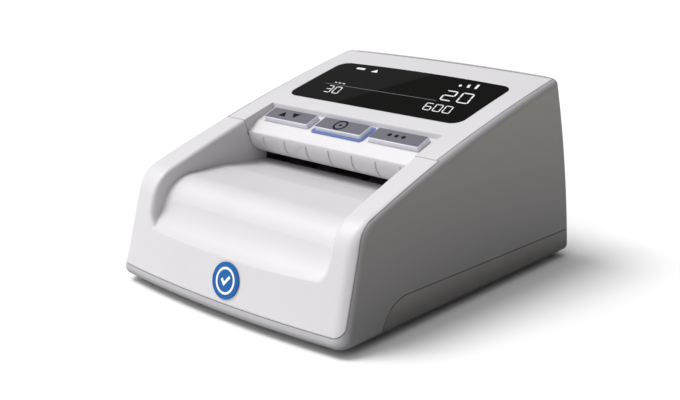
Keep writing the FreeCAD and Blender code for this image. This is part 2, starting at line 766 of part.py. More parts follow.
def pan_side(raise_by):
    """Everything below the seam line along the sides and rear."""
    rear = PAN_SEAM_REAR_Z + raise_by
    front = PAN_SEAM_FRONT_Z + raise_by
    turn = PAN_SEAM_TURN_Y - raise_by
    steps = [(FAR, -20.0), (turn - 14.0, -20.0), (turn - 14.0, 6.0),
             ((turn - 9.0, front - 3.2), (turn, front))]
    return side_prism((REAR_Y, rear), [(FAR, rear)] + steps, -FAR, FAR)


def pan_zone(grow):
    wide = PAN_PLATE_HALF + grow
    plate = box(-wide, wide, PAN_PLATE_FRONT_Y - grow, -30.0, -20.0, FLOOR_Z + 0.01)
    return [pan_side(grow), plate]


def wrap_shell(outer, inner):
    """Side walls, rear wall and lower front band in one moulding."""
    skin = outer.cut(inner)
    front_half = rear_bound(HOOD_REAR_Y + HOOD_REAR_GAP)
    upper, wide = panel_zone(GAP)
    whole = skin.cut(upper.common(front_half)).cut(wide)
    for zone in pan_zone(GAP):
        whole = whole.cut(zone)
    posts = []
    seam_top = PAN_SEAM_FRONT_Z + 0.5
    for x, y in SHELL_POSTS:
        post = rod_z(POST_R, x, y, SCREW_SEAT_Z, seam_top + 6.0).common(outer)
        posts += both_sides(post.cut(box(60.8, FAR, -FAR, FAR, 0.0, seam_top)))
    whole = fused([whole] + posts)
    for x, y in SHELL_POSTS:
        for hole in both_sides(rod_z(SCREW_HOLE_R, x, y, 0.0, 16.0)):
            whole = whole.cut(hole)
    whole = whole.cut(box(-SLOT_HALF, SLOT_HALF, 70.0, FAR, NOTE_Z - 0.8, ROOF_Z + 0.6))
    whole = whole.cut(Part.makeCylinder(4.2, 40.0, V(JACK_X, 60.0, JACK_Z), V(0, 1, 0)))
    whole = whole.cut(box(PORT_X - 4.6, PORT_X + 4.6, 72.0, FAR, BOARD_TOP_Z - 0.2, BOARD_TOP_Z + 3.8))
    for hole in both_sides(rod_x(HINGE_PIN_R + RUNNING, RAIL_OUT, HINGE_OUT + 0.2, HINGE_Y, HINGE_Z)):
        whole = whole.cut(hole)
    return whole


FOOT_R = 6.0
FOOT_PLACES = [(48.0, -60.0), (48.0, 62.0)]
BOARD_SCREW_PLACES = [(-43.0, 1.0), (-43.0, 67.0), (9.0, 1.0), (9.0, 67.0)]
BOARD_LOW_Z = 24.0
FRAME_SCREWS = [(46.0, 8.0), (46.0, 44.0)]
FRAME_SEAT_Z = 9.2
BAY_HALF = 27.0
BAY_Y0 = -51.0
BAY_Y1 = -15.0
BAY_TOP = 22.0
BAY_WALL = 1.6
DOOR_HALF = 30.0
DOOR_LIP = 1.5
DOOR_TRAVEL = 8.0
DOOR_Y0 = -53.0
DOOR_Y1 = -12.0


def bottom_pan(outer, inner):
    skin = outer.cut(inner)
    side, plate = pan_zone(0.0)
    parts = [skin.common(side), skin.common(plate)]
    for x, y in SHELL_POSTS + [(TRAY_POST_X, TRAY_POST_Y)]:
        parts += both_sides(rod_z(POST_R, x, y, UNDERSIDE + 0.5, SCREW_SEAT_Z).common(outer))
    for x, y in BOARD_SCREW_PLACES:
        parts.append(rod_z(2.5, x, y, FLOOR_Z - 1.0, BOARD_LOW_Z))
    for x, y in FRAME_SCREWS:
        parts += both_sides(rod_z(3.0, x, y, FLOOR_Z - 1.0, FRAME_SEAT_Z))
    pad_y0, pad_y1 = DOOR_Y0 - DOOR_TRAVEL - 3.0, DOOR_Y1 + 3.0
    pad = box(-DOOR_HALF - 4.0, DOOR_HALF + 4.0, pad_y0, pad_y1, UNDERSIDE, UNDERSIDE + 3.6)
    bay_half = BAY_HALF + BAY_WALL
    bay_y0, bay_y1 = BAY_Y0 - BAY_WALL, BAY_Y1 + BAY_WALL
    bay = box(-bay_half, bay_half, bay_y0, bay_y1, UNDERSIDE + 1.0, BAY_TOP + BAY_WALL)
    whole = fused(parts + [pad, bay])
    whole = whole.cut(box(-BAY_HALF, BAY_HALF, BAY_Y0, BAY_Y1, 0.0, BAY_TOP))
    run_y0 = DOOR_Y0 - DOOR_TRAVEL - 0.3
    whole = whole.cut(box(-DOOR_HALF - 0.2, DOOR_HALF + 0.2, run_y0, DOOR_Y1 + 0.2, 0.0, UNDERSIDE + 1.9))
    lip = DOOR_HALF + DOOR_LIP + 0.2
    whole = whole.cut(box(-lip, lip, run_y0, DOOR_Y1 + 0.2, UNDERSIDE + 0.9, UNDERSIDE + 1.9))
    for x, y in SHELL_POSTS + [(TRAY_POST_X, TRAY_POST_Y)]:
        for side in (-1, 1):
            whole = whole.cut(rod_z(3.1, side * x, y, 0.0, 4.8))
            whole = whole.cut(rod_z(1.6, side * x, y, 0.0, 10.0))
    for x, y in BOARD_SCREW_PLACES:
        whole = whole.cut(rod_z(0.95, x, y, 16.0, 30.0))
    for x, y in FRAME_SCREWS:
        for hole in both_sides(rod_z(SCREW_HOLE_R, x, y, 4.6, 12.0)):
            whole = whole.cut(hole)
    for x, y in FOOT_PLACES:
        for seat in both_sides(rod_z(FOOT_R + 0.1, x, y, 0.0, UNDERSIDE + 0.6)):
            whole = whole.cut(seat)
    for number in range(7):
        y = 14.0 + number * 5.0
        whole = whole.cut(box(18.0, 38.0, y, y + 2.0, 0.0, FLOOR_Z + 0.5))
    return whole


def battery_door():
    """Sliding door with thin side lips and a grip of four shallow grooves."""
    low = UNDERSIDE + 0.15
    panel = box(-DOOR_HALF, DOOR_HALF, DOOR_Y0, DOOR_Y1, low, UNDERSIDE + 1.75)
    wide = DOOR_HALF + DOOR_LIP
    lips = box(-wide, wide, DOOR_Y0, DOOR_Y1, UNDERSIDE + 1.05, UNDERSIDE + 1.75)
    whole = fused([panel, lips])
    for number in range(4):
        y = DOOR_Y0 + 5.0 + number * 2.4
        whole = whole.cut(box(-8.0, 8.0, y, y + 1.2, 0.0, low + 0.6))
    return whole


def battery_pack():
    half = BAY_HALF - 1.0
    pack = box(-half, half, BAY_Y0 + 1.0, BAY_Y1 - 1.0, UNDERSIDE + 2.2, BAY_TOP - 0.8)
    return pack.makeFillet(1.5, [e for e in pack.Edges if e.BoundBox.ZLength > 10.0])


def rubber_feet():
    feet = []
    for x, y in FOOT_PLACES:
        foot = rod_z(FOOT_R, x, y, 0.0, UNDERSIDE + 0.6)
        foot = foot.makeFillet(0.8, [e for e in foot.Edges if e.BoundBox.ZMax < 0.01])
        feet += both_sides(foot)
    return group(feet)


def pan_screws():
    screws = []
    for x, y in SHELL_POSTS + [(TRAY_POST_X, TRAY_POST_Y)]:
        screw = fused([rod_z(2.8, x, y, 3.3, 4.8), rod_z(1.2, x, y, 4.8, 15.0)])
        slot = box(x - 1.8, x + 1.8, y - 0.3, y + 0.3, 3.0, 4.0)
        cross = box(x - 0.3, x + 0.3, y - 1.8, y + 1.8, 3.0, 4.0)
        screws += both_sides(screw.cut(slot).cut(cross))
    return group(screws)


# ---- drive --------------------------------------------------------------------------------
FRAME_IN = 48.6
FRAME_OUT = 50.6
GEAR_IN = 52.2
GEAR_OUT = 56.2
SHAFT_R = 2.0
BUSH_R = 3.5
PRESSURE_ANGLE = math.radians(20.0)
ADDENDUM = 0.62
DEDENDUM = 0.85
BACKLASH = 0.08
IDLER_PIN_R = 1.5
MOTOR_R = 10.5
MOTOR_LENGTH = 30.0
MOTOR_SHAFT_R = 1.0


def involute(angle):
    return math.tan(angle) - angle


def gear(teeth, y, z, first_tooth, bore, x0=GEAR_IN, x1=GEAR_OUT):
    """Spur gear about the x axis; first_tooth is the angle of one tooth from +Y."""
    pitch_r = MODULE * teeth / 2.0
    base_r = pitch_r * math.cos(PRESSURE_ANGLE)
    tip_r = pitch_r + ADDENDUM
    root_r = pitch_r - DEDENDUM
    start_r = max(base_r, root_r)
    half_at_pitch = math.pi / (2.0 * teeth) - BACKLASH / (2.0 * pitch_r)

    def half_angle(radius):
        return half_at_pitch + involute(PRESSURE_ANGLE) - involute(math.acos(min(1.0, base_r / radius)))

    def at(radius, angle):
        return (y + radius * math.cos(angle), z + radius * math.sin(angle))

    step = 2.0 * math.pi / teeth
    middle_r = (start_r + tip_r) / 2.0
    steps = []
    for number in range(teeth):
        here = math.radians(first_tooth) + number * step
        foot, mid, tip = half_angle(start_r), half_angle(middle_r), half_angle(tip_r)
        if start_r > root_r + 1e-6:
            steps.append(at(start_r, here - foot))
        steps.append((at(middle_r, here - mid), at(tip_r, here - tip)))
        steps.append((at(tip_r, here), at(tip_r, here + tip)))
        steps.append((at(middle_r, here + mid), at(start_r, here + foot)))
        if start_r > root_r + 1e-6:
            steps.append(at(root_r, here + foot))
        steps.append((at(root_r, here + step / 2.0), at(root_r, here + step - foot)))
    start = at(root_r, math.radians(first_tooth) - half_angle(start_r))
    solid = side_prism(start, steps, x0, x1)
    return solid.cut(rod_x(bore, x0 - 1.0, x1 + 1.0, y, z))


def drive_shaft(y):
    return rod_x(SHAFT_R, -FRAME_OUT - 2.0, GEAR_OUT + 0.6, y, SHAFT_Z)


def drive_rollers(y):
    rollers = []
    for x in ROLLER_PLACES:
        tyre = rod_x(ROLLER_R, x - 5.0, x + 5.0, y, SHAFT_Z)
        rollers.append(tyre.cut(rod_x(SHAFT_R, x - 6.0, x + 6.0, y, SHAFT_Z)))
    return group(rollers)


def drive_gear(y):
    return gear(TEETH_DRIVE, y, SHAFT_Z, 0.0, SHAFT_R)


def idler_gear():
    hub = rod_x(4.0, GEAR_IN - 0.9, GEAR_IN, IDLER_Y, SHAFT_Z)
    hub = hub.cut(rod_x(IDLER_PIN_R + RUNNING, 0.0, 80.0, IDLER_Y, SHAFT_Z))
    half_tooth = 180.0 / TEETH_IDLER
    return fused([gear(TEETH_IDLER, IDLER_Y, SHAFT_Z, half_tooth, IDLER_PIN_R + RUNNING), hub])


def idler_pin():
    stem = rod_x(IDLER_PIN_R, FRAME_IN, GEAR_OUT + 0.3, IDLER_Y, SHAFT_Z)
    head = rod_x(2.8, GEAR_OUT + 0.3, GEAR_OUT + 1.2, IDLER_Y, SHAFT_Z)
    return fused([stem, head])


def motor_pinion():
    return gear(TEETH_PINION, IDLER_Y, PINION_Z, 90.0, MOTOR_SHAFT_R)


def motor_shaft():
    return rod_x(MOTOR_SHAFT_R, FRAME_IN - 6.0, GEAR_OUT + 0.4, IDLER_Y, PINION_Z)


def drive_motor():
    end = FRAME_IN - MOTOR_LENGTH
    can = rod_x(MOTOR_R, end, FRAME_IN, IDLER_Y, PINION_Z)
    can = can.makeFillet(1.2, [e for e in can.Edges if e.BoundBox.XMax < end + 0.01])
    nose = rod_x(3.0, FRAME_IN, FRAME_OUT + 0.2, IDLER_Y, PINION_Z)
    rear = rod_x(3.2, end - 1.5, end, IDLER_Y, PINION_Z)
    whole = fused([can, nose, rear])
    whole = whole.cut(rod_x(MOTOR_SHAFT_R + RUNNING, FRAME_IN - 6.2, 80.0, IDLER_Y, PINION_Z))
    for dy in (-8.0, 8.0):
        whole = whole.cut(rod_x(0.95, FRAME_IN - 4.0, FRAME_OUT + 2, IDLER_Y + dy, PINION_Z))
    return whole


def motor_screws():
    screws = []
    for dy in (-8.0, 8.0):
        shank = rod_x(0.9, FRAME_IN - 3.5, FRAME_OUT, IDLER_Y + dy, PINION_Z)
        head = rod_x(1.9, FRAME_OUT, FRAME_OUT + 1.1, IDLER_Y + dy, PINION_Z)
        screws.append(fused([shank, head]))
    return group(screws)


def side_frame(right):
    """Bent steel plate that carries the shafts; built on the right and mirrored for the left."""
    rear = [(64.0, FRAME_SEAT_Z), (64.0, 44.0), (58.0, 50.0)]
    front = [(2.0, 50.0), (-1.5, 46.0)]
    parts = [side_prism((-1.5, FRAME_SEAT_Z), rear + front, FRAME_IN, FRAME_OUT)]
    for x, y in FRAME_SCREWS:
        parts.append(box(x - 4.0, FRAME_OUT, y - 4.0, y + 4.0, FRAME_SEAT_Z, FRAME_SEAT_Z + 1.5))
    whole = fused(parts)
    for x, y in FRAME_SCREWS:
        whole = whole.cut(rod_z(1.3, x, y, 0.0, 20.0))
    for y in nip_rows():
        whole = whole.cut(rod_x(BUSH_R, 0.0, 80.0, y, SHAFT_Z))
    if right:
        whole = whole.cut(rod_x(IDLER_PIN_R, 0.0, 80.0, IDLER_Y, SHAFT_Z))
        whole = whole.cut(rod_x(3.0, 0.0, 80.0, IDLER_Y, PINION_Z))
        for dy in (-8.0, 8.0):
            whole = whole.cut(rod_x(1.0, 0.0, 80.0, IDLER_Y + dy, PINION_Z))
        return whole
    window = side_prism((16.0, 18.0), [(40.0, 18.0), (40.0, 38.0), (16.0, 38.0)], 0.0, 80.0)
    return mirrored(whole.cut(window))


def bearing_bushes():
    bushes = []
    for y in nip_rows():
        sleeve = rod_x(BUSH_R, FRAME_IN, FRAME_OUT, y, SHAFT_Z)
        collar = rod_x(BUSH_R + 1.1, FRAME_OUT, FRAME_OUT + 0.8, y, SHAFT_Z)
        bore = rod_x(SHAFT_R + RUNNING, 0.0, 80.0, y, SHAFT_Z)
        bushes += both_sides(fused([sleeve, collar]).cut(bore))
    return group(bushes)


def frame_screws():
    screws = []
    for x, y in FRAME_SCREWS:
        seat = FRAME_SEAT_Z + 1.5
        head = rod_z(2.4, x, y, seat, seat + 1.6)
        screws += both_sides(fused([head, rod_z(1.2, x, y, FLOOR_Z, seat)]))
    return group(screws)


# ---- note bed and sensors --------------------------------------------------------------------
BED_THICK = 2.2
BED_REAR_Y = 72.0
HEAD_PLACES = (-30.0, -10.0, 10.0, 30.0)
HEAD_Y = 37.0


def note_bed():
    low = NOTE_Z - BED_THICK
    bed = box(-FRAME_IN, FRAME_IN, -1.4, BED_REAR_Y, low, NOTE_Z)
    for y in nip_rows():
        for x in ROLLER_PLACES:
            bed = bed.cut(box(x - 6.0, x + 6.0, y - 6.4, y + 6.4, low - 1, NOTE_Z + 1))
    bed = bed.cut(box(-SENSOR_HALF, SENSOR_HALF, SENSOR_Y0, SENSOR_Y1, low - 1, NOTE_Z + 1))
    for x in HEAD_PLACES:
        bed = bed.cut(box(x - 4.3, x + 4.3, HEAD_Y - 4.3, HEAD_Y + 4.3, low - 1, NOTE_Z + 1))
    return bed


def lower_lens():
    return box(-SENSOR_HALF, SENSOR_HALF, SENSOR_Y0, SENSOR_Y1, NOTE_Z - BED_THICK, NOTE_Z - 0.05)


def lower_sensor_bar():
    top = NOTE_Z - BED_THICK
    half = SENSOR_HALF + 1.0
    return box(-half, half, SENSOR_Y0 - 1.0, SENSOR_Y1 + 1.0, top - 4.5, top)


def magnetic_heads():
    heads = []
    for x in HEAD_PLACES:
        block = box(x - 4.0, x + 4.0, HEAD_Y - 4.0, HEAD_Y + 4.0, NOTE_Z - 7.0, NOTE_Z + 0.1)
        heads.append(block.makeFillet(1.0, [e for e in block.Edges if e.BoundBox.ZLength > 5.0]))
    return group(heads)


# ---- main board ----------------------------------------------------------------------------
def main_board():
    board = box(-46.0, 12.0, -2.0, 70.0, BOARD_LOW_Z, BOARD_TOP_Z)
    for x, y in BOARD_SCREW_PLACES:
        board = board.cut(rod_z(1.1, x, y, 20.0, 30.0))
    return board


def board_screws():
    screws = []
    for x, y in BOARD_SCREW_PLACES:
        head = rod_z(2.0, x, y, BOARD_TOP_Z, BOARD_TOP_Z + 1.3)
        screws.append(fused([head, rod_z(0.9, x, y, 17.0, BOARD_TOP_Z)]))
    return group(screws)


def board_parts():
    """Processor, memory, capacitors, buzzer and plug sockets on the board."""
    z = BOARD_TOP_Z
    parts = [
        box(-26.0, -12.0, 24.0, 38.0, z, z + 2.0), box(-4.0, 4.0, 26.0, 36.0, z, z + 1.6),
        rod_z(4.0, -39.0, 22.0, z, z + 8.0), rod_z(4.0, -39.0, 33.0, z, z + 8.0),
        rod_z(5.0, 3.0, 48.0, z, z + 3.4),
        box(-30.0, -10.0, 62.0, 66.0, z, z + 5.0), box(-6.0, 6.0, 10.0, 14.0, z, z + 3.0),
        box(-44.0, -32.0, 42.0, 50.0, z, z + 2.6),
    ]
    return group(parts)


def dc_jack():
    """Power socket: body on the board and a round nose in the rear wall, with its pin."""
    body = box(JACK_X - 4.5, JACK_X + 4.5, 61.0, 74.2, BOARD_TOP_Z, JACK_Z + 5.0)
    nose = Part.makeCylinder(4.0, 2.8, V(JACK_X, 74.2, JACK_Z), V(0, 1, 0))
    whole = fused([body, nose])
    whole = whole.cut(Part.makeCylinder(2.8, 12.0, V(JACK_X, 66.0, JACK_Z), V(0, 1, 0)))
    pin = Part.makeCylinder(1.0, 10.5, V(JACK_X, 65.5, JACK_Z), V(0, 1, 0))
    return fused([whole, pin])


def service_port():
    body = box(PORT_X - 4.2, PORT_X + 4.2, 70.2, 76.8, BOARD_TOP_Z, BOARD_TOP_Z + 3.2)
    mouth = box(PORT_X - 3.6, PORT_X + 3.6, 71.0, 77.8, BOARD_TOP_Z + 0.6, BOARD_TOP_Z + 2.6)
    tongue = box(PORT_X - 2.6, PORT_X + 2.6, 70.8, 76.0, BOARD_TOP_Z + 1.3, BOARD_TOP_Z + 1.9)
    tail = box(PORT_X - 4.2, PORT_X + 4.2, 66.5, 70.2, BOARD_TOP_Z, BOARD_TOP_Z + 1.2)
    return fused([body.cut(mouth), tongue, tail])


# ---- badge -----------------------------------------------------------------------------------
BADGE_X = 4.6
BADGE_Z = 16.7
BADGE_R = 7.3


def front_badge(outer):
    """Thin round plate on the front face."""
    disc = place_face(rod_z(BADGE_R, 0, 0, -1.5, 0.45), BADGE_X, BADGE_Z)
    disc = disc.cut(outer)
    return max(disc.Solids, key=lambda solid: solid.Volume)


# ---- everything --------------------------------------------------------------------------------
def build():
    os.makedirs("parts", exist_ok=True)
    plain = form()
    inner = form(WALL)
    pocket = form(WINDOW_THICK + 0.05)
    outer = round_bottom(plain, 0.0)
    export("wrap_shell", wrap_shell(outer, inner))
    export("bottom_pan", bottom_pan(outer, inner))
    export("tray_bezel", tray_bezel(plain, inner))
    export("hood_cover", hood_cover(plain, inner, pocket))
    export("hinge_pins", hinge_pins())
    export("display_window", display_window())
    export("lcd_module", lcd_module())
    export("control_board", control_board())
    export("control_screws", control_screws())
    export("key_left", key_cap(-KEY_PITCH))
    export("key_middle", key_cap(0.0))
    export("key_right", key_cap(KEY_PITCH))
    export("key_light_ring", key_light_ring())
    export("key_board", key_board())
    export("key_pad", key_pad())
    export("key_ribbon", key_ribbon())
    export("hood_inner_frame", hood_inner_frame())
    export("upper_sensor_bar", upper_sensor_bar())
    export("upper_lens", upper_lens())
    export("hood_screws", hood_screws())
    for name, y in (("front", FRONT_NIP_Y), ("rear", REAR_NIP_Y)):
        export(name + "_pinch_shaft", pinch_shaft(y))
        export(name + "_pinch_rollers", pinch_rollers(y))
        export(name + "_drive_shaft", drive_shaft(y))
        export(name + "_drive_rollers", drive_rollers(y))
        export(name + "_drive_gear", drive_gear(y))
    export("idler_gear", idler_gear())
    export("idler_pin", idler_pin())
    export("motor_pinion", motor_pinion())
    export("motor_shaft", motor_shaft())
    export("drive_motor", drive_motor())
    export("motor_screws", motor_screws())
    export("side_frame_left", side_frame(False))
    export("side_frame_right", side_frame(True))
    export("bearing_bushes", bearing_bushes())
    export("frame_screws", frame_screws())
    export("note_bed", note_bed())
    export("lower_lens", lower_lens())
    export("lower_sensor_bar", lower_sensor_bar())
    export("magnetic_heads", magnetic_heads())
    export("main_board", main_board())
    export("board_parts", board_parts())
    export("board_screws", board_screws())
    export("dc_jack", dc_jack())
    export("service_port", service_port())
    export("battery_pack", battery_pack())
    export("battery_door", battery_door())
    export("rubber_feet", rubber_feet())
    export("pan_screws", pan_screws())
    export("front_badge", front_badge(plain))


build()
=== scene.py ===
"""Finishes, display, symbols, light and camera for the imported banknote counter."""
import json
import math

import bmesh
import bpy
from mathutils import Matrix, Vector
from mathutils.bvhtree import BVHTree


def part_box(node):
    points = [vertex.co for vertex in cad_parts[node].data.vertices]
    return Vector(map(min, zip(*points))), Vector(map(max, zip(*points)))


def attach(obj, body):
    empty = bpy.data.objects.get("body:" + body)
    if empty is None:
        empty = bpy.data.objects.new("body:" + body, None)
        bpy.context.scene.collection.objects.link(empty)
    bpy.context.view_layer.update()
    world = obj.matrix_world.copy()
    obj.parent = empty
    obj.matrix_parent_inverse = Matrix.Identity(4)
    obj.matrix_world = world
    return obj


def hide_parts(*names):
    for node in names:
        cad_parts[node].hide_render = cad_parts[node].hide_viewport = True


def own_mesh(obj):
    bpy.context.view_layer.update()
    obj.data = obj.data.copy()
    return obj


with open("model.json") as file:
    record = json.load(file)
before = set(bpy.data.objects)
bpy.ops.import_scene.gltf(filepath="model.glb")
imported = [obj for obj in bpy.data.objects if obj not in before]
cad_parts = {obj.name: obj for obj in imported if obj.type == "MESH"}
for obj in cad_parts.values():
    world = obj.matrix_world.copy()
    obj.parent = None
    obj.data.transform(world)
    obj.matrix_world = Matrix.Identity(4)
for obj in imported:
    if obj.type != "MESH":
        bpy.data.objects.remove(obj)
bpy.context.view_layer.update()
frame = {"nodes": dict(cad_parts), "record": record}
NODES = frame["nodes"]
MM = 0.001                   # lengths below are in mm unless a comment says otherwise

KEY_SLOPE = math.radians(20.5)
KEY_UP = (0.0, -math.sin(KEY_SLOPE), math.cos(KEY_SLOPE))
PAINTED_REFLECTION_LINE = (-25.5, 43.2)  # where the edge of the painted reflection of a pale wall crosses the x and y axes
UP_AND_FORWARDS = (0.0, -math.sqrt(0.5), math.sqrt(0.5))
ABOVE_ALL = 300.0            # rays start this far out, clear of the whole object

LENS_MM = 59.19
SENSOR_MM = 36.0
CAMERA_PLACE = (0.3102, -0.3445, 0.17075)    # in metres
CAMERA_AZIMUTH = 42.47
CAMERA_ELEVATION = 16.57
CAMERA_ROLL = -0.35
CAMERA_SHIFT = (-0.0016, -0.0064)

LIGHT_FROM = (-0.38, -0.52, 0.76)
LIGHT_LOW = 0.0              # sky light from directions that face away from LIGHT_FROM
LIGHT_HIGH = 1.22
SUN_FROM = (-0.36, -0.28, 0.89)
SUN_STRENGTH = 2.1
SUN_WIDTH = 28.0             # angle across the sun, in degrees


# ---- node material helpers -------------------------------------------------------------
class Shader:
    """A Principled material with short methods that add colour, roughness and bump nodes."""

    def __init__(self, name, roughness=0.5, metallic=0.0):
        self.material = bpy.data.materials.new(name)
        self.material.use_nodes = True
        self.tree = self.material.node_tree
        self.nodes = self.tree.nodes
        self.links = self.tree.links
        self.principled = self.nodes["Principled BSDF"]
        self.principled.inputs["Roughness"].default_value = roughness
        self.principled.inputs["Metallic"].default_value = metallic
        self.place = self.nodes.new("ShaderNodeTexCoord").outputs["Object"]
        self.normal = None

    def noise(self, per_mm, detail=4.0, stretch=(1.0, 1.0, 1.0)):
        """Noise with about per_mm features in each millimetre."""
        mapping = self.nodes.new("ShaderNodeMapping")
        mapping.inputs["Scale"].default_value = stretch
        self.links.new(self.place, mapping.inputs["Vector"])
        noise = self.nodes.new("ShaderNodeTexNoise")
        noise.inputs["Scale"].default_value = per_mm / MM
        noise.inputs["Detail"].default_value = detail
        self.links.new(mapping.outputs["Vector"], noise.inputs["Vector"])
        return noise.outputs["Fac"]

    def spread(self, value, low, high, start=0.3, end=0.7):
        """Maps a value that runs from start to end onto the range low to high."""
        node = self.nodes.new("ShaderNodeMapRange")
        node.inputs["From Min"].default_value = start
        node.inputs["From Max"].default_value = end
        node.inputs["To Min"].default_value = low
        node.inputs["To Max"].default_value = high
        self.links.new(value, node.inputs["Value"])
        return node.outputs["Result"]

    def colour_between(self, factor, first, second):
        """Base colour that runs from first to second; either may be another colour output."""
        ramp = self.nodes.new("ShaderNodeMix")
        ramp.data_type = "RGBA"
        for slot, colour in (("A", first), ("B", second)):
            if isinstance(colour, tuple):
                ramp.inputs[slot].default_value = (*colour, 1.0)
            else:
                self.links.new(colour, ramp.inputs[slot])
        self.links.new(factor, ramp.inputs["Factor"])
        self.links.new(ramp.outputs["Result"], self.principled.inputs["Base Color"])
        return ramp.outputs["Result"]

    def height(self, low_mm, high_mm):
        """0 below low_mm above the table and 1 above high_mm."""
        split = self.nodes.new("ShaderNodeSeparateXYZ")
        self.links.new(self.place, split.inputs["Vector"])
        return self.spread(split.outputs["Z"], 0.0, 1.0, low_mm * MM, high_mm * MM)

    def facing(self, direction):
        """Cosine of the angle between the surface and a direction in the object's frame."""
        node = self.nodes.new("ShaderNodeVectorMath")
        node.operation = "DOT_PRODUCT"
        node.inputs[1].default_value = direction
        self.links.new(self.nodes.new("ShaderNodeTexCoord").outputs["Normal"], node.inputs[0])
        return node.outputs["Value"]

    def beyond_line(self, along_x, along_y, width_mm):
        """0 on one side of a line in plan and 1 on the other, with a soft change between."""
        node = self.nodes.new("ShaderNodeVectorMath")
        node.operation = "DOT_PRODUCT"
        node.inputs[1].default_value = (1.0 / along_x / MM, 1.0 / along_y / MM, 0.0)
        self.links.new(self.place, node.inputs[0])
        soft = width_mm / min(abs(along_x), abs(along_y))
        return self.spread(node.outputs["Value"], 0.0, 1.0, 1.0 - soft, 1.0 + soft)

    def roughness_from(self, value):
        self.links.new(value, self.principled.inputs["Roughness"])

    def bump(self, height, strength, depth_mm):
        node = self.nodes.new("ShaderNodeBump")
        node.inputs["Strength"].default_value = strength
        node.inputs["Distance"].default_value = depth_mm * MM
        self.links.new(height, node.inputs["Height"])
        if self.normal is not None:
            self.links.new(self.normal, node.inputs["Normal"])
        self.normal = node.outputs["Normal"]
        self.links.new(self.normal, self.principled.inputs["Normal"])

    def soft_edges(self, radius_mm):
        node = self.nodes.new("ShaderNodeBevel")
        node.samples = 6
        node.inputs["Radius"].default_value = radius_mm * MM
        self.normal = node.outputs["Normal"]
        self.links.new(self.normal, self.principled.inputs["Normal"])

    def set(self, socket, value):
        self.principled.inputs[socket].default_value = value

    def glow(self, colour, strength):
        self.set("Emission Color", (*colour, 1.0))
        self.set("Emission Strength", strength)


def moulded(name, light, dark, rough, grain_mm, grain_depth, edge=0.25):
    """Moulded plastic: faint cloudy tone, fine spark-erosion grain and softened edges."""
    shader = Shader(name)
    shader.soft_edges(edge)
    clouds = shader.noise(0.03, 3.0)
    shader.colour_between(shader.spread(clouds, 0.0, 1.0), dark, light)
    grain = shader.noise(1.0 / grain_mm, 2.0)
    shader.roughness_from(shader.spread(grain, rough - 0.05, rough + 0.05))
    shader.bump(grain, 0.35, grain_depth)
    return shader


def brushed(name, light, dark, rough, stretch):
    """Bright metal with fine lines along one direction."""
    shader = Shader(name, rough, 1.0)
    shader.soft_edges(0.15)
    lines = shader.noise(1.2, 3.0, stretch)
    shader.colour_between(shader.spread(lines, 0.0, 1.0), dark, light)
    shader.roughness_from(shader.spread(lines, rough - 0.08, rough + 0.08))
    shader.bump(lines, 0.15, 0.02)
    return shader


# ---- finishes, one for each material slot ----------------------------------------------
def shell_grey():
    """Grey moulding with painted shade on the sides, darkest low down, and painted light where it turns
    to the front and the top.
    """
    shader = Shader("shell_grey")
    shader.soft_edges(0.3)
    # painted light: faces that turn up and forwards get the pale colour, the sides the darker one
    facing = shader.facing(UP_AND_FORWARDS)
    grain = shader.noise(3.0, 2.0)
    # painted shade: the sides darken towards the table
    painted_shade_low_side, painted_shade_high_side = (0.150, 0.146, 0.148), (0.262, 0.242, 0.230)
    side = shader.colour_between(shader.height(12.0, 78.0), painted_shade_low_side, painted_shade_high_side)
    shader.colour_between(shader.spread(facing, 0.0, 1.0, 0.1, 0.8), side, (0.40, 0.395, 0.415))
    shader.roughness_from(shader.spread(grain, 0.50, 0.60))
    shader.bump(grain, 0.35, 0.03)
    return shader


def pan_grey():
    """Grey moulding with painted shade that darkens it towards the underside."""
    shader = Shader("pan_grey")
    shader.soft_edges(0.5)
    grain = shader.noise(3.0, 2.0)
    # painted shade: darker within the lowest 15 mm, towards the underside
    shader.colour_between(shader.height(3.0, 15.0), (0.060, 0.058, 0.056), (0.160, 0.154, 0.148))
    shader.roughness_from(shader.spread(grain, 0.50, 0.60))
    shader.bump(grain, 0.35, 0.03)
    return shader


def panel_white():
    light, dark = (0.60, 0.59, 0.607), (0.575, 0.565, 0.582)
    return moulded("panel_white", light, dark, rough=0.42, grain_mm=0.30, grain_depth=0.015, edge=0.9)


def steel():
    light, dark = (0.72, 0.72, 0.73), (0.55, 0.55, 0.56)
    return brushed("steel", light, dark, rough=0.32, stretch=(1.0, 0.05, 0.05))


def window_black():
    """Smoked gloss pane; the rear left part is lighter, a painted reflection of a pale wall."""
    shader = Shader("window_black")
    shader.soft_edges(0.2)
    haze = shader.noise(0.02, 2.0)
    # painted reflection: lighter colour on the rear left side of this line
    painted_reflection = shader.beyond_line(*PAINTED_REFLECTION_LINE, 1.0)
    shader.colour_between(painted_reflection, (0.0045, 0.0045, 0.0042), (0.010, 0.010, 0.0098))
    shader.roughness_from(shader.spread(haze, 0.10, 0.16))
    shader.set("IOR", 1.05)
    return shader


def display_unit():
    light, dark = (0.05, 0.05, 0.055), (0.03, 0.03, 0.033)
    return moulded("display_unit", light, dark, rough=0.4, grain_mm=0.5, grain_depth=0.01)


def circuit_board():
    """Green laminate: weave bump and faint copper tracks under the lacquer."""
    shader = Shader("circuit_board", 0.35)
    tracks = shader.noise(0.25, 1.0, (1.0, 0.2, 1.0))
    bare, track = (0.015, 0.11, 0.04), (0.03, 0.17, 0.07)
    shader.colour_between(shader.spread(tracks, 0.0, 1.0, 0.48, 0.52), bare, track)
    shader.bump(shader.noise(1.5, 2.0), 0.3, 0.02)
    return shader


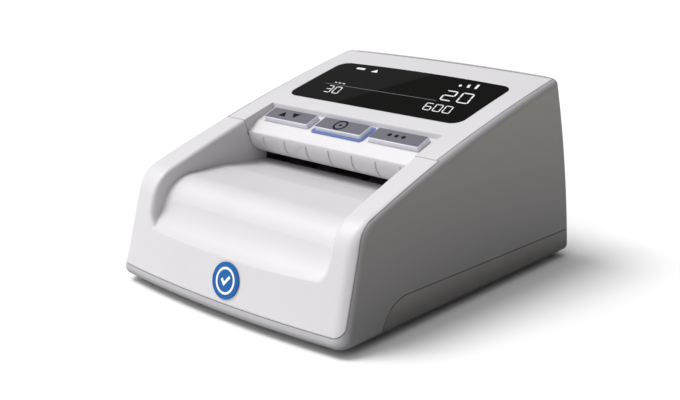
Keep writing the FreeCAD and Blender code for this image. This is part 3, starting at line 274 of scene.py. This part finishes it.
def key_grey():
    """Grey printed top on a paler translucent cap, told apart by the direction of the surface."""
    shader = Shader("key_grey")
    shader.soft_edges(0.3)
    grain = shader.noise(4.0, 2.0)
    facing = shader.facing(KEY_UP)
    sides, top = (0.70, 0.70, 0.76), (0.106, 0.105, 0.130)
    shader.colour_between(shader.spread(facing, 0.0, 1.0, 0.86, 0.93), sides, top)
    shader.roughness_from(shader.spread(grain, 0.35, 0.45))
    shader.bump(grain, 0.35, 0.012)
    return shader


def light_blue():
    """Light guide around the middle key, lit from inside."""
    light, dark = (0.07, 0.12, 0.30), (0.06, 0.10, 0.25)
    shader = moulded("light_blue", light, dark, rough=0.3, grain_mm=0.4, grain_depth=0.01)
    shader.glow((0.16, 0.28, 0.72), 0.20)
    return shader


def key_rubber():
    light, dark = (0.62, 0.62, 0.62), (0.55, 0.55, 0.55)
    return moulded("key_rubber", light, dark, rough=0.5, grain_mm=0.4, grain_depth=0.02)


def ribbon():
    shader = Shader("ribbon", 0.4)
    wires = shader.noise(0.8, 0.0, (1.0, 0.02, 0.02))
    shader.colour_between(shader.spread(wires, 0.0, 1.0), (0.55, 0.55, 0.57), (0.74, 0.74, 0.75))
    return shader


def inner_black():
    light, dark = (0.030, 0.030, 0.033), (0.022, 0.022, 0.025)
    return moulded("inner_black", light, dark, rough=0.5, grain_mm=0.4, grain_depth=0.03)


def sensor_glass():
    shader = Shader("sensor_glass", 0.08)
    tint = shader.noise(0.05, 1.0)
    shader.colour_between(shader.spread(tint, 0.0, 1.0), (0.03, 0.004, 0.008), (0.06, 0.008, 0.014))
    return shader


def roller_rubber():
    """Matt rubber with fine grinding lines round the roller."""
    shader = Shader("roller_rubber", 0.8)
    shader.soft_edges(0.3)
    lines = shader.noise(2.0, 3.0, (1.0, 0.15, 0.15))
    shader.colour_between(shader.spread(lines, 0.0, 1.0), (0.020, 0.020, 0.021), (0.042, 0.042, 0.044))
    shader.bump(lines, 0.5, 0.05)
    return shader


def gear_white():
    light, dark = (0.74, 0.72, 0.66), (0.68, 0.66, 0.60)
    return moulded("gear_white", light, dark, rough=0.45, grain_mm=0.6, grain_depth=0.02)


def gear_brass():
    light, dark = (0.78, 0.58, 0.25), (0.62, 0.44, 0.18)
    return brushed("gear_brass", light, dark, rough=0.28, stretch=(0.1, 1.0, 1.0))


def motor_can():
    light, dark = (0.60, 0.60, 0.62), (0.48, 0.48, 0.50)
    return brushed("motor_can", light, dark, rough=0.35, stretch=(1.0, 0.08, 0.08))


def frame_steel():
    """Zinc plated sheet with a faint crystal pattern."""
    shader = Shader("frame_steel", 0.4, 1.0)
    shader.soft_edges(0.2)
    cells = shader.nodes.new("ShaderNodeTexVoronoi")
    cells.inputs["Scale"].default_value = 0.35 / MM
    shader.links.new(shader.place, cells.inputs["Vector"])
    middle_to_edge = cells.outputs["Distance"]
    zinc = shader.spread(middle_to_edge, 0.0, 1.0, 0.0, 0.8)
    shader.colour_between(zinc, (0.66, 0.66, 0.67), (0.52, 0.52, 0.54))
    shader.roughness_from(shader.spread(middle_to_edge, 0.30, 0.46, 0.0, 0.8))
    return shader


def bush_bronze():
    light, dark = (0.55, 0.36, 0.18), (0.42, 0.26, 0.12)
    return brushed("bush_bronze", light, dark, rough=0.42, stretch=(1.0, 1.0, 1.0))


def head_metal():
    light, dark = (0.75, 0.75, 0.77), (0.62, 0.62, 0.64)
    return brushed("head_metal", light, dark, rough=0.15, stretch=(1.0, 0.1, 1.0))


def chip_black():
    light, dark = (0.028, 0.028, 0.030), (0.020, 0.020, 0.022)
    return moulded("chip_black", light, dark, rough=0.45, grain_mm=0.2, grain_depth=0.02)


def socket_metal():
    light, dark = (0.74, 0.74, 0.76), (0.60, 0.60, 0.62)
    return brushed("socket_metal", light, dark, rough=0.22, stretch=(1.0, 0.2, 1.0))


def battery_wrap():
    """Shrink film with soft wrinkles."""
    shader = Shader("battery_wrap", 0.25)
    wrinkles = shader.noise(0.12, 3.0, (1.0, 3.0, 1.0))
    shader.colour_between(shader.spread(wrinkles, 0.0, 1.0), (0.02, 0.05, 0.16), (0.03, 0.07, 0.22))
    shader.bump(wrinkles, 0.4, 0.4)
    return shader


def foot_rubber():
    light, dark = (0.030, 0.030, 0.030), (0.020, 0.020, 0.020)
    return moulded("foot_rubber", light, dark, rough=0.75, grain_mm=0.5, grain_depth=0.05)


def badge_blue():
    shader = Shader("badge_blue", 0.25)
    shader.soft_edges(0.15)
    tone = shader.noise(0.08, 2.0)
    shader.colour_between(shader.spread(tone, 0.0, 1.0), (0.002, 0.085, 0.29), (0.003, 0.105, 0.34))
    shader.set("Specular IOR Level", 0.25)
    return shader


FINISHES = {
    make.__name__: make().material
    for make in (
        shell_grey, pan_grey, panel_white, steel, window_black, display_unit, circuit_board, key_grey,
        light_blue, key_rubber, ribbon, inner_black, sensor_glass, roller_rubber, gear_white, gear_brass,
        motor_can, frame_steel, bush_bronze, head_metal, chip_black, socket_metal, battery_wrap,
        foot_rubber, badge_blue,
    )
}


def white_print():
    shader = Shader("white_print", 0.45)
    tone = shader.noise(0.2, 2.0)
    shader.colour_between(shader.spread(tone, 0.0, 1.0), (0.80, 0.80, 0.81), (0.86, 0.86, 0.87))
    return shader.material


def dark_print():
    shader = Shader("dark_print", 0.8)
    tone = shader.noise(0.2, 2.0)
    shader.colour_between(shader.spread(tone, 0.0, 1.0), (0.006, 0.006, 0.009), (0.012, 0.012, 0.016))
    shader.set("Specular IOR Level", 0.05)
    return shader.material


def lit_segment(name, glow):
    """Display segments: even white light with a slightly uneven tone."""
    shader = Shader(name, 0.5)
    tone = shader.noise(0.3, 1.0)
    low, high = glow * 0.9, glow * 1.1
    shader.colour_between(shader.spread(tone, 0.0, 1.0), (low, low, low), (high, high, high))
    shader.glow((0.94, 0.97, 1.0), glow)
    return shader.material


def paint_nodes():
    for part in frame["record"]["subparts"]:
        node = NODES[part["node"]]
        node.data.materials.clear()
        node.data.materials.append(FINISHES[part["material_slot"]])


paint_nodes()


# ---- pieces made here ------------------------------------------------------------------
def piece_from(mesh, name, material, body):
    """Turns a bmesh into a piece of one material that rides on a body."""
    data = bpy.data.meshes.new(name)
    mesh.to_mesh(data)
    mesh.free()
    data.materials.clear()
    data.materials.append(material)
    piece = bpy.data.objects.new(name, data)
    bpy.context.scene.collection.objects.link(piece)
    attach(piece, body)
    return piece


def node_middle(node):
    low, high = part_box(node)
    return (low + high) / 2 / MM


def join_loops(mesh, first, second):
    """Side faces between two loops of as many vertices."""
    count = len(first)
    for i in range(count):
        j = (i + 1) % count
        mesh.faces.new((first[i], first[j], second[j], second[i]))


class Surface:
    """One CAD node as a target for rays."""

    def __init__(self, node):
        mesh = NODES[node].data
        places = [vertex.co for vertex in mesh.vertices]
        self.tree = BVHTree.FromPolygons(places, [face.vertices for face in mesh.polygons])

    def hit(self, start, direction):
        """Place and normal where a ray meets the surface; start is in mm, the place in metres."""
        place, normal, _, _ = self.tree.ray_cast(Vector(start) * MM, Vector(direction))
        return place, normal


DOWN = (0.0, 0.0, -1.0)
BACKWARDS = (0.0, 1.0, 0.0)
FORWARDS = (0.0, -1.0, 0.0)


def from_above(u, v):
    return (u, v, ABOVE_ALL), DOWN


def from_front(u, v):
    return (u, -ABOVE_ALL, v), BACKWARDS


MARK_HEIGHT = 0.06           # marks stand this far out of the surface
MARK_SINK = 0.03             # and reach this far into it


def mark(name, outlines, to_ray, node, material, body):
    """Closed thin prisms whose outlines are dropped onto a node along rays."""
    surface = Surface(node)
    mesh = bmesh.new()
    for outline in outlines:
        upper, lower = [], []
        for u, v in outline:
            place, normal = surface.hit(*to_ray(u, v))
            upper.append(mesh.verts.new(place + normal * MARK_HEIGHT * MM))
            lower.append(mesh.verts.new(place - normal * MARK_SINK * MM))
        mesh.faces.new(upper)
        mesh.faces.new(list(reversed(lower)))
        join_loops(mesh, lower, upper)
    bmesh.ops.recalc_face_normals(mesh, faces=mesh.faces)
    return piece_from(mesh, name, material, body)


# ---- outlines --------------------------------------------------------------------------
def strip(x0, y0, x1, y1, wide):
    """Straight line of even width between two points."""
    length = math.hypot(x1 - x0, y1 - y0)
    nx, ny = -(y1 - y0) / length * wide / 2, (x1 - x0) / length * wide / 2
    return [(x0 + nx, y0 + ny), (x0 - nx, y0 - ny), (x1 - nx, y1 - ny), (x1 + nx, y1 + ny)]


def triangle(x, y, half, height):
    """Small triangle on its base; a negative height points down."""
    return [(x - half, y - height / 2), (x + half, y - height / 2), (x, y + height / 2)]


def arc(x, y, radius, start, sweep, steps):
    """Points along an arc, with both ends."""
    turns = [start + sweep * i / steps for i in range(steps + 1)]
    return [(x + radius * math.cos(turn), y + radius * math.sin(turn)) for turn in turns]


def disc(x, y, radius):
    return arc(x, y, radius, 0.0, 2 * math.pi, steps=16)[:-1]


def ring(x, y, inner, outer):
    """Two half rings that meet."""
    halves = []
    for start in (0.0, math.pi):
        outside = arc(x, y, outer, start, math.pi, steps=24)
        inside = arc(x, y, inner, start, math.pi, steps=24)
        halves.append(outside + inside[::-1])
    return halves


# ---- display ---------------------------------------------------------------------------
DISPLAY_REAR_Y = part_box("display_window")[1].y / MM
SLANT = -0.28                # sideways shift of a character for each mm of height
SEGMENT_THICK = 0.085        # share of the character's height
SEGMENT_GAP = 0.36           # gap at each end of a bar, as a share of half its thickness

# bars that are lit, named clockwise from the top one, with g in the middle
SEGMENTS = {"0": "abcdef", "2": "abged", "3": "abgcd", "6": "afgedc"}

# characters, x of their right edge, distance from the display's rear edge to their foot,
# then height, width and pitch of the characters
NUMBERS = [
    ("20", 39.6, 23.0, 8.9, 5.6, 8.6),
    ("600", 38.0, 33.6, 5.9, 3.5, 5.1),
    ("30", -25.0, 33.2, 6.2, 3.2, 4.9),
]


def segment_outlines(character, x, y, width, height):
    """Seven-segment character with its lower left corner at x, y."""
    half = height / 2
    side = height * SEGMENT_THICK / 2
    gap = side * SEGMENT_GAP

    def bar(x0, y0, x1, y1):
        """Bar with pointed ends between two corners of the character."""
        length = math.hypot(x1 - x0, y1 - y0)
        dx, dy = (x1 - x0) / length, (y1 - y0) / length
        near, far = gap, length - gap
        below = [(near + side, -side), (far - side, -side)]
        above = [(far - side, side), (near + side, side)]
        shape = [(near, 0)] + below + [(far, 0)] + above
        return [(x0 + dx * along - dy * out, y0 + dy * along + dx * out) for along, out in shape]

    bars = {
        "a": bar(0, height, width, height), "b": bar(width, half, width, height),
        "c": bar(width, 0, width, half), "d": bar(0, 0, width, 0),
        "e": bar(0, 0, 0, half), "f": bar(0, half, 0, height), "g": bar(0, half, width, half),
    }
    return [[(x + u + v * SLANT, y + v) for u, v in bars[name]] for name in SEGMENTS[character]]


def number_outlines(text, right_x, y, height, width, pitch):
    outlines = []
    for place, character in enumerate(reversed(text)):
        x = right_x - width - place * pitch
        outlines += segment_outlines(character, x, y, width, height)
    return outlines


def display_icons():
    """Battery block, small triangle, three rising level bars and three short dashes."""
    low, high = DISPLAY_REAR_Y - 7.0, DISPLAY_REAR_Y - 5.2
    left, right, lean = -36.4, -31.4, -0.4
    icons = [[(left, low), (right, low), (right + lean, high), (left + lean, high)]]
    icons.append(triangle(-24.9, DISPLAY_REAR_Y - 6.2, half=1.9, height=3.0))
    level_y, dash_y = DISPLAY_REAR_Y - 8.6, DISPLAY_REAR_Y - 23.3
    for i in range(3):
        bar_x, bar_height = 25.5 + 4.0 * i, 1.6 + 1.3 * i
        icons.append(strip(bar_x, level_y, bar_x - 1.2, level_y + bar_height, wide=1.2))
        dash_x = -35.0 + 2.4 * i
        icons.append(strip(dash_x, dash_y, dash_x + 1.4, dash_y, wide=0.6))
    return icons


def build_display():
    lit = lit_segment("lit_segment", 0.42)
    faint = lit_segment("faint_line", 0.10)
    digits = []
    for text, right_x, below_rear, height, width, pitch in NUMBERS:
        digits += number_outlines(text, right_x, DISPLAY_REAR_Y - below_rear, height, width, pitch)
    line = strip(-38.7, DISPLAY_REAR_Y - 25.5, 24.7, DISPLAY_REAR_Y - 24.6, 0.22)
    for name, outlines, glow in (
        ("display_digits", digits, lit),
        ("display_line", [line], faint),
        ("display_icons", display_icons(), lit),
    ):
        mark(name, outlines, from_above, "display_window", glow, "hood")


build_display()


# ---- key symbols -----------------------------------------------------------------------
KEY_MIDDLE_Y = -4.6          # middle of the key tops, seen from above
ARROW_HALF = 2.2
ARROW_HEIGHT = 3.2
ARROW_PITCH = 6.8
DOT_PITCH = 3.6
SYMBOL_SHIFT = -1.0          # symbols sit a little to the left of the middle of their key


def build_key_marks():
    """Arrows up and down, a ring with a dot, and three dots."""
    dark = dark_print()
    left, middle, right = (node_middle("key_" + side).x for side in ("left", "middle", "right"))
    arrow_x = left + SYMBOL_SHIFT - 0.1
    up = triangle(arrow_x - ARROW_PITCH / 2, KEY_MIDDLE_Y, ARROW_HALF, ARROW_HEIGHT)
    down = triangle(arrow_x + ARROW_PITCH / 2, KEY_MIDDLE_Y + 0.2, ARROW_HALF, -ARROW_HEIGHT)
    ring_x = middle + SYMBOL_SHIFT
    target = ring(ring_x, KEY_MIDDLE_Y, inner=2.5, outer=3.35)
    target.append(disc(ring_x, KEY_MIDDLE_Y, radius=0.7))
    dots_x = [right + SYMBOL_SHIFT + step * DOT_PITCH for step in (-1, 0, 1)]
    dots = [disc(x, KEY_MIDDLE_Y + 0.2, radius=1.0) for x in dots_x]
    mark("key_left_arrows", [up, down], from_above, "key_left", dark, "left_key")
    mark("key_middle_ring", target, from_above, "key_middle", dark, "middle_key")
    mark("key_right_dots", dots, from_above, "key_right", dark, "right_key")


build_key_marks()


# ---- rubber mat below the keys ---------------------------------------------------------
MAT_GAP = 0.1                # between the three parts of the mat


def cut_off_beyond(mesh, x, towards):
    """Removes what lies beyond an upright plane at x and closes the cut."""
    everything = mesh.verts[:] + mesh.edges[:] + mesh.faces[:]
    cut = bmesh.ops.bisect_plane(
        mesh, geom=everything, plane_co=(x * MM, 0, 0), plane_no=(towards, 0, 0), clear_outer=True
    )
    rim = [piece for piece in cut["geom_cut"] if isinstance(piece, bmesh.types.BMEdge)]
    if rim:
        bmesh.ops.contextual_create(mesh, geom=rim)


def build_key_mat():
    """The rubber mat cut into three parts, one below each key, all riding on the hood."""
    reach = (node_middle("key_right").x - node_middle("key_middle").x - MAT_GAP) / 2
    for side in ("left", "middle", "right"):
        x = node_middle("key_" + side).x
        mesh = bmesh.new()
        mesh.from_mesh(NODES["key_pad"].data)
        for towards in (-1.0, 1.0):
            cut_off_beyond(mesh, x + towards * reach, towards)
        part = piece_from(mesh, "key_mat_" + side, FINISHES["key_rubber"], "hood")
        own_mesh(part)
        if side == "left":
            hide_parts("key_pad")


build_key_mat()


# ---- badge -----------------------------------------------------------------------------
def build_badge_mark():
    """White ring with a tick, as a plain sign for a note that passed."""
    badge = node_middle("front_badge")
    tick = [(-2.5, 0.1), (-1.7, 0.9), (-0.5, -0.4), (1.8, 2.3), (2.6, 1.5), (-0.5, -2.1)]
    outlines = ring(badge.x, badge.z, inner=4.3, outer=5.2)
    outlines.append([(badge.x + u, badge.z + v) for u, v in tick])
    mark("badge_tick", outlines, from_front, "front_badge", white_print(), "base")


build_badge_mark()


# ---- lip along the rear edge -----------------------------------------------------------
LIP_HALF = 57.5              # half length
LIP_R = 0.65
LIP_RISE = 0.55              # stands this far above the rear wall
LIP_IN = 0.9                 # from the outside of the rear wall to the lip
LIP_FADE = 5.0               # length over which each end sinks into the wall
LIP_PROBE = 4.0              # depth below the top at which the rear wall's place is measured
LIP_STEPS = 60
LIP_SIDES = 12


def build_rear_lip():
    """Low rounded lip on the rear wall behind the hood."""
    wall = Surface("wrap_shell")
    probe_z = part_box("hood_cover")[1].z / MM - LIP_PROBE
    turns = [2 * math.pi * k / LIP_SIDES for k in range(LIP_SIDES)]
    mesh = bmesh.new()
    loops = []
    for i in range(LIP_STEPS + 1):
        x = (2.0 * i / LIP_STEPS - 1.0) * LIP_HALF
        rear, _ = wall.hit((x, ABOVE_ALL, probe_z), FORWARDS)
        y = rear.y / MM - LIP_IN - LIP_R
        top, _ = wall.hit(*from_above(x, y))
        fade = max(0.0, 1.0 - (LIP_HALF - abs(x)) / LIP_FADE) ** 2
        z = top.z / MM + LIP_RISE - LIP_R - fade * (LIP_RISE + 0.1)
        places = [Vector((x, y + LIP_R * math.cos(a), z + LIP_R * math.sin(a))) for a in turns]
        loops.append([mesh.verts.new(place * MM) for place in places])
    for first, second in zip(loops, loops[1:]):
        join_loops(mesh, first, second)
    for face in mesh.faces:
        face.smooth = True
    mesh.faces.new(loops[0])
    mesh.faces.new(list(reversed(loops[-1])))
    bmesh.ops.recalc_face_normals(mesh, faces=mesh.faces)
    piece_from(mesh, "rear_lip", FINISHES["shell_grey"], "base")


build_rear_lip()


# ---- floor, light and camera -----------------------------------------------------------
def build_floor():
    half = 3.0               # in metres
    corners = [(-half, -half, 0), (half, -half, 0), (half, half, 0), (-half, half, 0)]
    mesh = bpy.data.meshes.new("floor")
    mesh.from_pydata(corners, [], [(0, 1, 2, 3)])
    floor = bpy.data.objects.new("floor", mesh)
    bpy.context.scene.collection.objects.link(floor)
    shader = Shader("floor_pale", 0.8)
    tone = shader.noise(0.004, 2.0)
    shader.colour_between(shader.spread(tone, 0.0, 1.0), (0.90, 0.90, 0.90), (0.92, 0.92, 0.92))
    mesh.materials.append(shader.material)


def build_world():
    """Large soft light from the upper left that fades out towards the right.

    The camera itself sees a plain white backdrop.
    """
    world = bpy.data.worlds.new("studio")
    world.use_nodes = True
    nodes, links = world.node_tree.nodes, world.node_tree.links
    background = nodes["Background"]
    place = nodes.new("ShaderNodeTexCoord").outputs["Generated"]
    towards = nodes.new("ShaderNodeVectorMath")
    towards.operation = "DOT_PRODUCT"
    towards.inputs[1].default_value = Vector(LIGHT_FROM).normalized()
    links.new(place, towards.inputs[0])
    level = nodes.new("ShaderNodeMapRange")
    level.inputs["From Min"].default_value = 0.0
    level.inputs["From Max"].default_value = 1.0
    level.inputs["To Min"].default_value = LIGHT_LOW
    level.inputs["To Max"].default_value = LIGHT_HIGH
    links.new(towards.outputs["Value"], level.inputs["Value"])
    seen = nodes.new("ShaderNodeMix")
    seen.inputs["B"].default_value = 1.0
    links.new(nodes.new("ShaderNodeLightPath").outputs["Is Camera Ray"], seen.inputs["Factor"])
    links.new(level.outputs["Result"], seen.inputs["A"])
    background.inputs["Color"].default_value = (1.0, 0.995, 1.0, 1.0)
    links.new(seen.outputs["Result"], background.inputs["Strength"])
    bpy.context.scene.world = world


def build_sun():
    """Broad soft light from the same side, for the shadow to the right of the object."""
    data = bpy.data.lights.new("soft_sun", "SUN")
    data.energy = SUN_STRENGTH
    data.angle = math.radians(SUN_WIDTH)
    light = bpy.data.objects.new("soft_sun", data)
    light.rotation_euler = (-Vector(SUN_FROM)).to_track_quat("-Z", "Y").to_euler()
    bpy.context.scene.collection.objects.link(light)


def build_camera():
    data = bpy.data.cameras.new("camera")
    data.lens = LENS_MM
    data.sensor_width = SENSOR_MM
    data.shift_x, data.shift_y = CAMERA_SHIFT
    camera = bpy.data.objects.new("camera", data)
    turn = (
        Matrix.Rotation(math.radians(CAMERA_AZIMUTH), 4, "Z")
        @ Matrix.Rotation(math.radians(90 - CAMERA_ELEVATION), 4, "X")
        @ Matrix.Rotation(math.radians(CAMERA_ROLL), 4, "Z")
    )
    camera.matrix_world = Matrix.Translation(CAMERA_PLACE) @ turn
    bpy.context.scene.collection.objects.link(camera)
    bpy.context.scene.camera = camera


build_floor()
build_world()
build_sun()
build_camera()
bpy.context.scene.view_settings.view_transform = "Standard"
